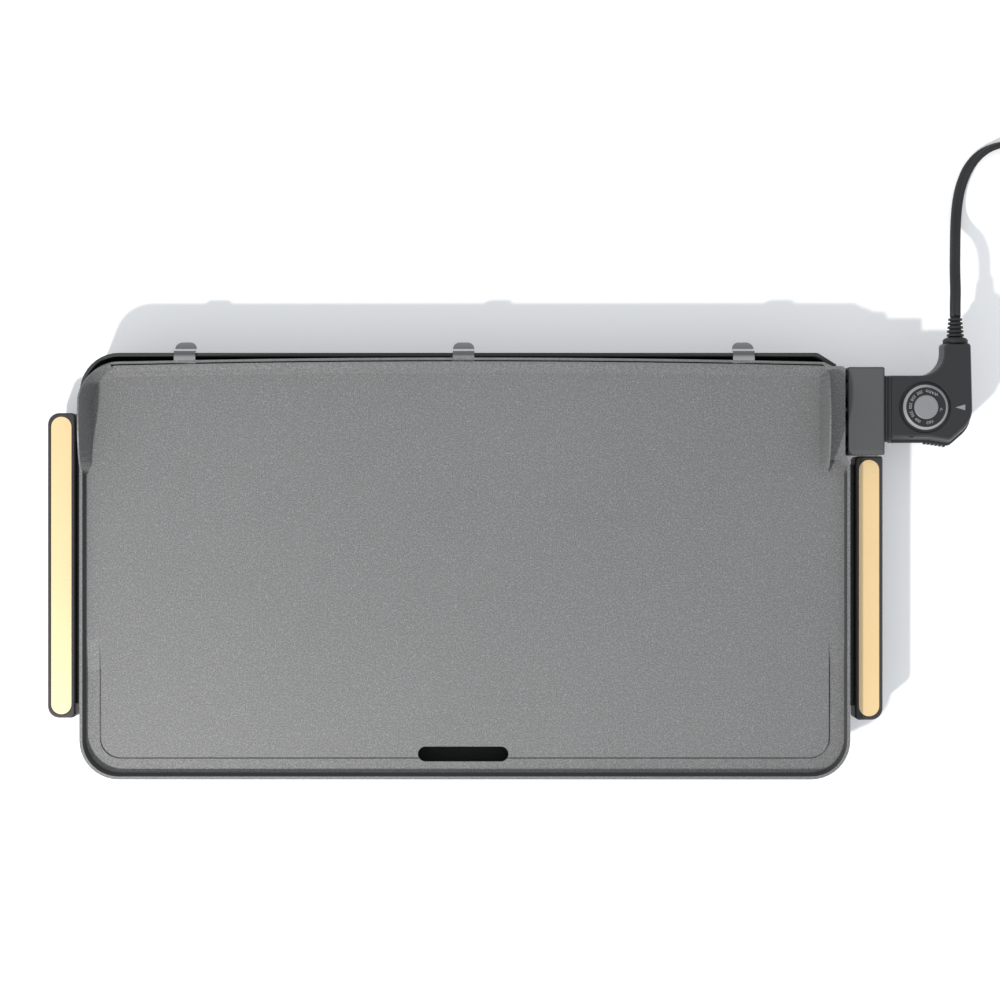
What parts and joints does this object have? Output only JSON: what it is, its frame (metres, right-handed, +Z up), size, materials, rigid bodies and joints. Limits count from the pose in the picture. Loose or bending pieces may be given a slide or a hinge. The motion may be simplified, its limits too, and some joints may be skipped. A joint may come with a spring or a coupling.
{
  "type": "electric griddle",
  "caption": "Electric griddle with a rimmed cast plate on a plastic base, side handles with gold trim, a front grease slot with drip tray, and a plug-in heat control on a cord.",
  "frame": {"origin": "under the middle of the griddle's box, on the surface its feet stand on", "axes": "+X along the length towards the heat control, +Y from the front (grease slot) to the rear, +Z up"},
  "size_m": [0.8286, 0.4728, 0.0805],
  "materials": {
    "plate_coating": "satin",
    "base_plastic": "satin",
    "handle_plastic": "satin",
    "gold_trim": "satin",
    "clip_steel": "polished",
    "screw_steel": "satin",
    "shield_metal": "satin",
    "element_steel": "satin",
    "ceramic": "matt",
    "brass": "satin",
    "bakelite": "satin",
    "guard_plastic": "matt",
    "probe_plastic": "satin",
    "dial_dark": "satin",
    "dial_light": "satin",
    "dial_grey": "satin",
    "rubber": "matt",
    "cord_rubber": "matt",
    "plug_plastic": "satin",
    "wire_sleeve": "matt"
  },
  "bodies": {
    "base": {"base_tray": "base_plastic", "rubber_feet": "rubber", "left_handle": "handle_plastic", "right_handle": "handle_plastic", "left_handle_inlay": "gold_trim", "right_handle_inlay": "gold_trim", "handle_screws": "screw_steel", "heat_shield": "shield_metal", "shield_screws": "screw_steel"},
    "drip_tray_body": {"drip_tray": "base_plastic"},
    "plate": {"griddle_plate": "plate_coating", "heating_element": "element_steel", "element_clamps": "screw_steel", "clamp_screws": "screw_steel", "sensor_sleeve": "shield_metal", "terminal_bracket": "screw_steel", "bracket_screws": "screw_steel", "terminal_insulators": "ceramic", "terminal_pins": "brass", "socket_housing": "guard_plastic", "housing_screws": "screw_steel", "clip_rivets": "screw_steel", "clip_left": "clip_steel", "clip_centre": "clip_steel", "clip_right": "clip_steel"},
    "control": {"control_top_case": "probe_plastic", "control_bottom_case": "probe_plastic", "control_collar": "probe_plastic", "contact_block": "bakelite", "contact_sockets": "brass", "sensor_rod": "clip_steel", "thermostat_frame": "screw_steel", "bimetal_strip": "brass", "contact_arm": "brass", "power_leads": "wire_sleeve", "case_screws": "screw_steel", "strain_relief": "cord_rubber", "cord_lead": "cord_rubber", "cord_coil": "cord_rubber", "cord_tail": "cord_rubber", "cord_tie": "plug_plastic", "plug_body": "plug_plastic", "plug_blades": "brass"},
    "dial": {"dial_skirt": "dial_dark", "dial_ring": "dial_light", "dial_cap": "dial_grey", "dial_shaft": "screw_steel"}
  },
  "joints": [
    {"name": "tray_slide", "type": "slide", "parent": "base", "child": "drip_tray_body", "axis": [0, -1, 0], "range_m": [0, 0.1]},
    {"name": "plate_lift", "type": "slide", "parent": "base", "child": "plate", "axis": [0, 0, 1], "range_m": [0, 0.12]},
    {"name": "control_pull", "type": "slide", "parent": "plate", "child": "control", "axis": [1, 0, 0], "range_m": [0, 0.09]},
    {"name": "dial_turn", "type": "hinge", "parent": "control", "child": "dial", "pos_m": [0.3035, 0.11145, 0.05], "axis": [0, 0, 1], "range_deg": [-237, 76]}
  ]
}
